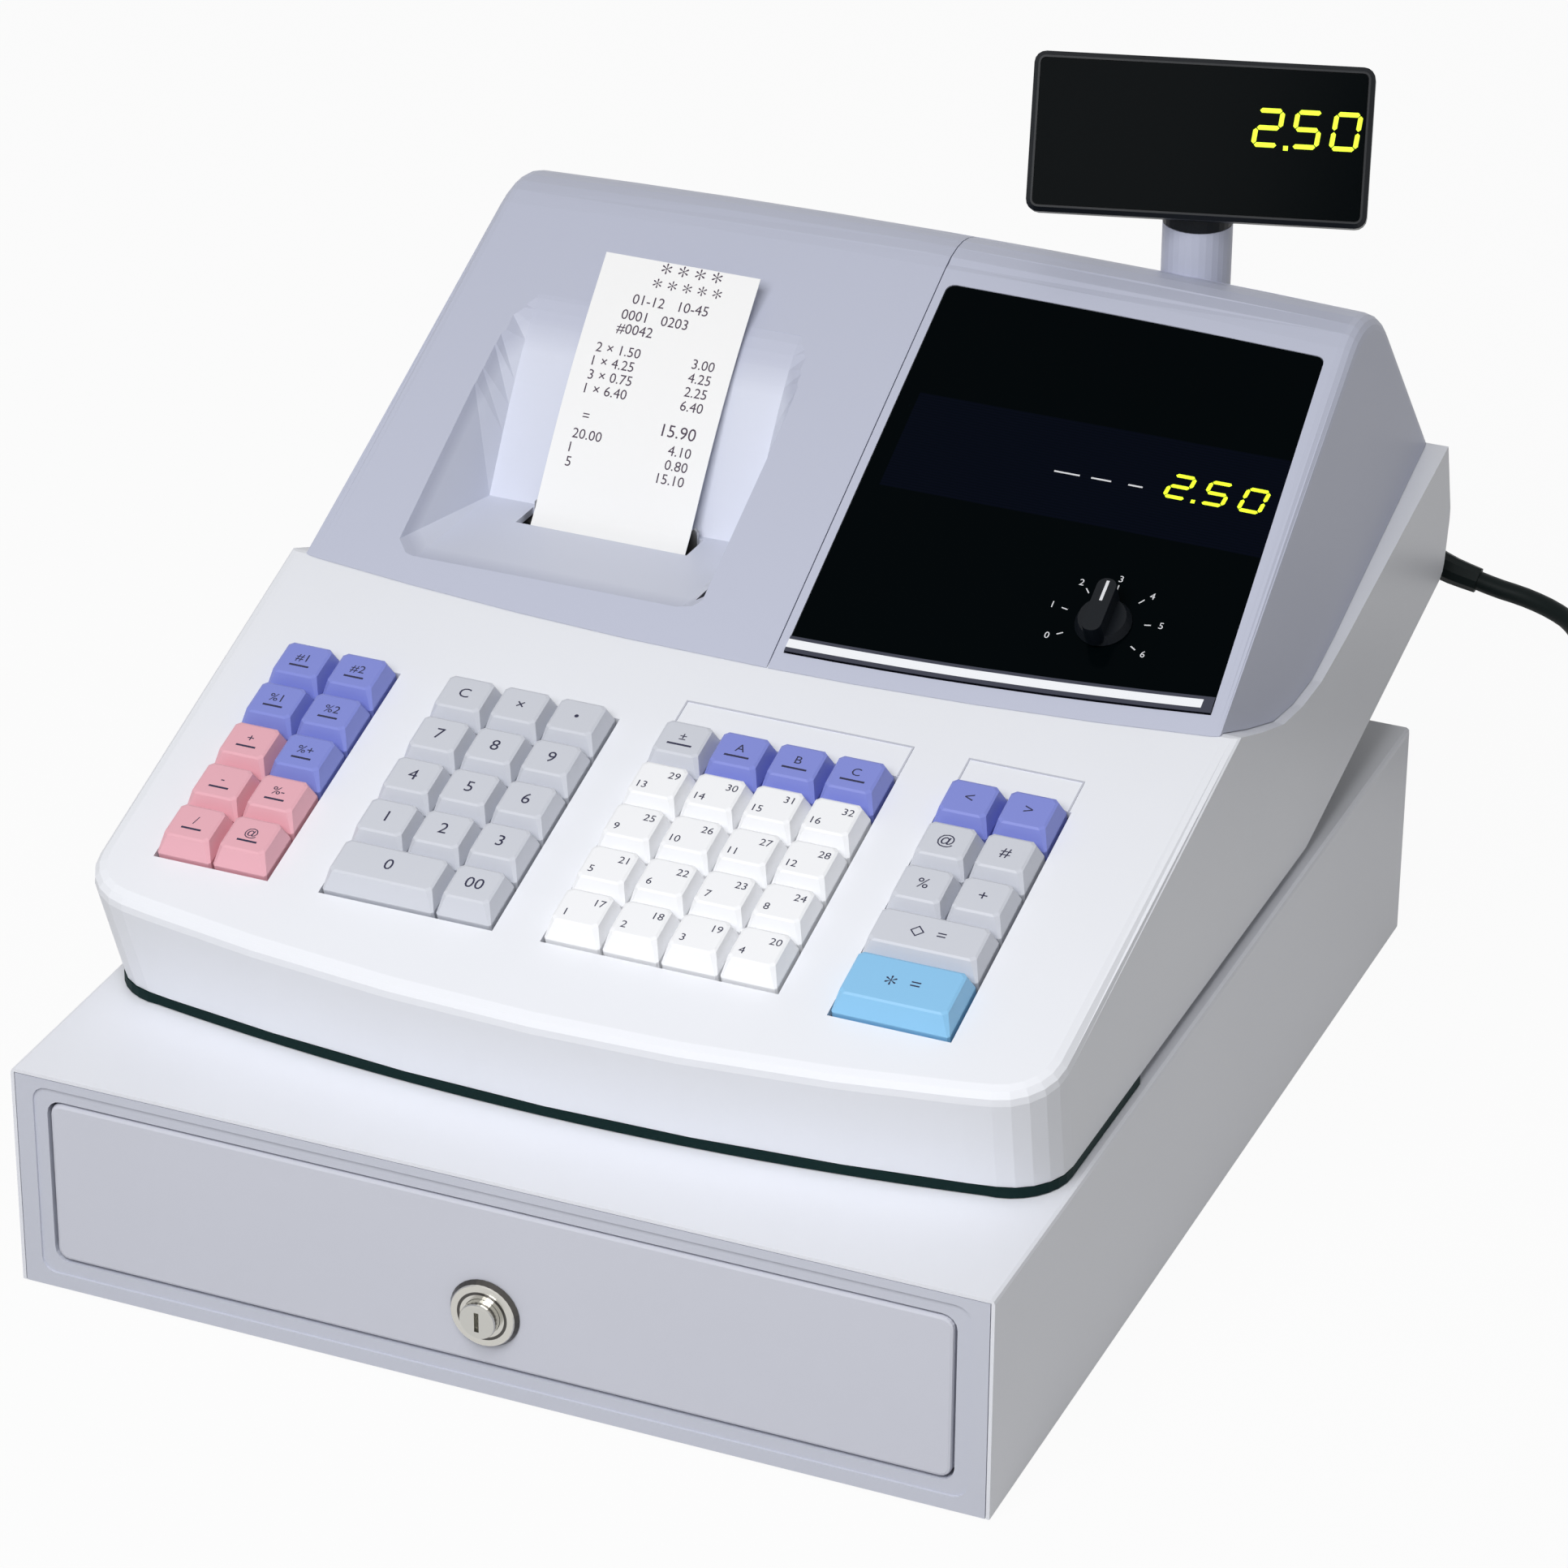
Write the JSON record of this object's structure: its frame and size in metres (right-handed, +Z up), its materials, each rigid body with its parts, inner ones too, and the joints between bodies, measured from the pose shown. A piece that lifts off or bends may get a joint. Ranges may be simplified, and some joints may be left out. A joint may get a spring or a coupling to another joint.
{
  "type": "cash register",
  "caption": "Compact electronic cash register: keyboard, receipt printer and display unit on a steel cash drawer, with a swivelling customer display and a mains lead.",
  "frame": {"origin": "centre of the register's outer box, without the mains lead, at the underside of the feet", "axes": "+X to the operator's right, +Y from the drawer front to the back, +Z up"},
  "size_m": [0.4931, 0.5933, 0.3228],
  "materials": {
    "cabinet_paint": "satin white-grey paint on sheet steel",
    "drawer_front_paint": "satin light-grey paint",
    "bezel_plastic": "fine satin light grey",
    "drawer_steel": "plain zinc-plated sheet",
    "pan_steel": "plain zinc-plated sheet",
    "tray_grey": "matt dark grey",
    "chrome": "bright plated",
    "case_white": "fine satin near white",
    "hood_grey": "fine satin blue-grey",
    "window_black": "glossy smoked black",
    "black_plastic": "satin black",
    "board_green": "printed circuit board",
    "transformer": "laminated core with taped winding",
    "rubber": "matt black",
    "paper": "plain white thermal paper",
    "key_grey": "satin light grey",
    "key_blue": "satin violet blue",
    "key_total": "satin light blue",
    "function_keys": "satin pink, with five caps in violet blue",
    "department_keys": "satin white, with one grey and three violet blue caps",
    "cord_black": "matt black, slightly green"
  },
  "bodies": {
    "register": {"cabinet_shell": "cabinet_paint", "cabinet_bezel": "bezel_plastic", "drawer_solenoid": "drawer_steel", "base_housing": "case_white", "base_pan": "pan_steel", "keyboard_board": "board_green", "main_board": "board_green", "transformer": "transformer", "display_housing": "hood_grey", "display_window": "window_black", "window_trim": "chrome", "display_module": "board_green", "display_pole": "hood_grey", "printer_frame": "drawer_steel", "receipt_strip": "paper", "tear_bar": "drawer_steel", "strain_relief": "cord_black", "cord_lead": "cord_black", "cord_coil": "cord_black", "mains_plug": "cord_black", "function_keypad": "function_keys", "department_keypad": "department_keys"},
    "drawer": {"drawer_box": "drawer_steel", "drawer_front": "drawer_front_paint", "lock_barrel": "chrome"},
    "lock": {"lock_plug": "chrome"},
    "tray": {"coin_tray": "tray_grey"},
    "clips": {"note_clips": "drawer_steel"},
    "roller_left": {"drawer_roller_left": "tray_grey"},
    "roller_right": {"drawer_roller_right": "tray_grey"},
    "latch": {"drawer_latch": "drawer_steel"},
    "cover": {"printer_cover": "hood_grey"},
    "mode": {"mode_switch": "black_plastic"},
    "head": {"display_head": "black_plastic", "head_window": "window_black"},
    "platen": {"platen_roller": "rubber"},
    "roll": {"paper_roll": "paper", "paper_spindle": "tray_grey"},
    "key_correct": {"key_correct": "key_grey"},
    "key_times": {"key_times": "key_grey"},
    "key_point": {"key_point": "key_grey"},
    "key_7": {"key_7": "key_grey"},
    "key_8": {"key_8": "key_grey"},
    "key_9": {"key_9": "key_grey"},
    "key_4": {"key_4": "key_grey"},
    "key_5": {"key_5": "key_grey"},
    "key_6": {"key_6": "key_grey"},
    "key_1": {"key_1": "key_grey"},
    "key_2": {"key_2": "key_grey"},
    "key_3": {"key_3": "key_grey"},
    "key_0": {"key_0": "key_grey"},
    "key_00": {"key_00": "key_grey"},
    "key_blue_left": {"key_blue_left": "key_blue"},
    "key_blue_right": {"key_blue_right": "key_blue"},
    "key_credit": {"key_credit": "key_grey"},
    "key_cheque": {"key_cheque": "key_grey"},
    "key_charge": {"key_charge": "key_grey"},
    "key_tax": {"key_tax": "key_grey"},
    "key_subtotal": {"key_subtotal": "key_grey"},
    "key_total": {"key_total": "key_total"}
  },
  "joints": [
    {"name": "drawer_slide", "type": "slide", "parent": "register", "child": "drawer", "axis": [0, -1, 0], "range_m": [0, 0.27]},
    {"name": "lock_turn", "type": "hinge", "parent": "drawer", "child": "lock", "pos_m": [-0.002, -0.21471, 0.031], "axis": [0, 1, 0], "range_deg": [0, 90]},
    {"name": "tray_lift", "type": "slide", "parent": "drawer", "child": "tray", "axis": [0, 0, 1], "range_m": [0, 0.012]},
    {"name": "clips_turn", "type": "hinge", "parent": "tray", "child": "clips", "pos_m": [0, 0.12589, 0.0485], "axis": [-1, 0, 0], "range_deg": [0, 23], "stiffness_Nm_per_rad": 0.05, "springref_deg": -34.38},
    {"name": "roller_left_spin", "type": "hinge", "parent": "register", "child": "roller_left", "pos_m": [-0.151, -0.18531, 0.0477], "axis": [1, 0, 0], "continuous": true},
    {"name": "roller_right_spin", "type": "hinge", "parent": "register", "child": "roller_right", "pos_m": [0.151, -0.18531, 0.0477], "axis": [1, 0, 0], "continuous": true},
    {"name": "latch_turn", "type": "hinge", "parent": "register", "child": "latch", "pos_m": [0, 0.16279, 0.0175], "axis": [-1, 0, 0], "range_deg": [0, 13]},
    {"name": "cover_lift", "type": "slide", "parent": "register", "child": "cover", "axis": [0, 0.682, 0.7314], "range_m": [0, 0.04]},
    {"name": "mode_turn", "type": "hinge", "parent": "register", "child": "mode", "pos_m": [0.1119, 0.01622, 0.18724], "axis": [0, -0.4802, 0.8771], "range_deg": [-90, 90]},
    {"name": "head_swivel", "type": "hinge", "parent": "register", "child": "head", "pos_m": [0.087, 0.16669, 0.266], "axis": [0, 0, 1], "range_deg": [-165, 165]},
    {"name": "platen_spin", "type": "hinge", "parent": "register", "child": "platen", "pos_m": [-0.076, 0.04222, 0.1612], "axis": [1, 0, 0], "continuous": true},
    {"name": "roll_spin", "type": "hinge", "parent": "register", "child": "roll", "pos_m": [-0.076, 0.10969, 0.146], "axis": [1, 0, 0], "continuous": true},
    {"name": "key_correct_press", "type": "slide", "parent": "register", "child": "key_correct", "axis": [0, 0.2807, -0.9598], "range_m": [0, 0.0035], "stiffness_N_per_m": 180, "springref_m": -0.001},
    {"name": "key_times_press", "type": "slide", "parent": "register", "child": "key_times", "axis": [0, 0.2807, -0.9598], "range_m": [0, 0.0035], "stiffness_N_per_m": 180, "springref_m": -0.001},
    {"name": "key_point_press", "type": "slide", "parent": "register", "child": "key_point", "axis": [0, 0.2807, -0.9598], "range_m": [0, 0.0035], "stiffness_N_per_m": 180, "springref_m": -0.001},
    {"name": "key_7_press", "type": "slide", "parent": "register", "child": "key_7", "axis": [0, 0.2807, -0.9598], "range_m": [0, 0.0035], "stiffness_N_per_m": 180, "springref_m": -0.001},
    {"name": "key_8_press", "type": "slide", "parent": "register", "child": "key_8", "axis": [0, 0.2807, -0.9598], "range_m": [0, 0.0035], "stiffness_N_per_m": 180, "springref_m": -0.001},
    {"name": "key_9_press", "type": "slide", "parent": "register", "child": "key_9", "axis": [0, 0.2807, -0.9598], "range_m": [0, 0.0035], "stiffness_N_per_m": 180, "springref_m": -0.001},
    {"name": "key_4_press", "type": "slide", "parent": "register", "child": "key_4", "axis": [0, 0.2807, -0.9598], "range_m": [0, 0.0035], "stiffness_N_per_m": 180, "springref_m": -0.001},
    {"name": "key_5_press", "type": "slide", "parent": "register", "child": "key_5", "axis": [0, 0.2807, -0.9598], "range_m": [0, 0.0035], "stiffness_N_per_m": 180, "springref_m": -0.001},
    {"name": "key_6_press", "type": "slide", "parent": "register", "child": "key_6", "axis": [0, 0.2807, -0.9598], "range_m": [0, 0.0035], "stiffness_N_per_m": 180, "springref_m": -0.001},
    {"name": "key_1_press", "type": "slide", "parent": "register", "child": "key_1", "axis": [0, 0.2807, -0.9598], "range_m": [0, 0.0035], "stiffness_N_per_m": 180, "springref_m": -0.001},
    {"name": "key_2_press", "type": "slide", "parent": "register", "child": "key_2", "axis": [0, 0.2807, -0.9598], "range_m": [0, 0.0035], "stiffness_N_per_m": 180, "springref_m": -0.001},
    {"name": "key_3_press", "type": "slide", "parent": "register", "child": "key_3", "axis": [0, 0.2807, -0.9598], "range_m": [0, 0.0035], "stiffness_N_per_m": 180, "springref_m": -0.001},
    {"name": "key_0_press", "type": "slide", "parent": "register", "child": "key_0", "axis": [0, 0.2807, -0.9598], "range_m": [0, 0.0035], "stiffness_N_per_m": 180, "springref_m": -0.001},
    {"name": "key_00_press", "type": "slide", "parent": "register", "child": "key_00", "axis": [0, 0.2807, -0.9598], "range_m": [0, 0.0035], "stiffness_N_per_m": 180, "springref_m": -0.001},
    {"name": "key_blue_left_press", "type": "slide", "parent": "register", "child": "key_blue_left", "axis": [0, 0.2807, -0.9598], "range_m": [0, 0.0035], "stiffness_N_per_m": 180, "springref_m": -0.001},
    {"name": "key_blue_right_press", "type": "slide", "parent": "register", "child": "key_blue_right", "axis": [0, 0.2807, -0.9598], "range_m": [0, 0.0035], "stiffness_N_per_m": 180, "springref_m": -0.001},
    {"name": "key_credit_press", "type": "slide", "parent": "register", "child": "key_credit", "axis": [0, 0.2807, -0.9598], "range_m": [0, 0.0035], "stiffness_N_per_m": 180, "springref_m": -0.001},
    {"name": "key_cheque_press", "type": "slide", "parent": "register", "child": "key_cheque", "axis": [0, 0.2807, -0.9598], "range_m": [0, 0.0035], "stiffness_N_per_m": 180, "springref_m": -0.001},
    {"name": "key_charge_press", "type": "slide", "parent": "register", "child": "key_charge", "axis": [0, 0.2807, -0.9598], "range_m": [0, 0.0035], "stiffness_N_per_m": 180, "springref_m": -0.001},
    {"name": "key_tax_press", "type": "slide", "parent": "register", "child": "key_tax", "axis": [0, 0.2807, -0.9598], "range_m": [0, 0.0035], "stiffness_N_per_m": 180, "springref_m": -0.001},
    {"name": "key_subtotal_press", "type": "slide", "parent": "register", "child": "key_subtotal", "axis": [0, 0.2807, -0.9598], "range_m": [0, 0.0035], "stiffness_N_per_m": 180, "springref_m": -0.001},
    {"name": "key_total_press", "type": "slide", "parent": "register", "child": "key_total", "axis": [0, 0.2807, -0.9598], "range_m": [0, 0.0035], "stiffness_N_per_m": 180, "springref_m": -0.001}
  ],
  "couplings": [
    {"joint": "roller_left_spin", "follows": "drawer_slide", "rad_per_m": 166.67},
    {"joint": "roller_right_spin", "follows": "drawer_slide", "rad_per_m": 166.67}
  ]
}
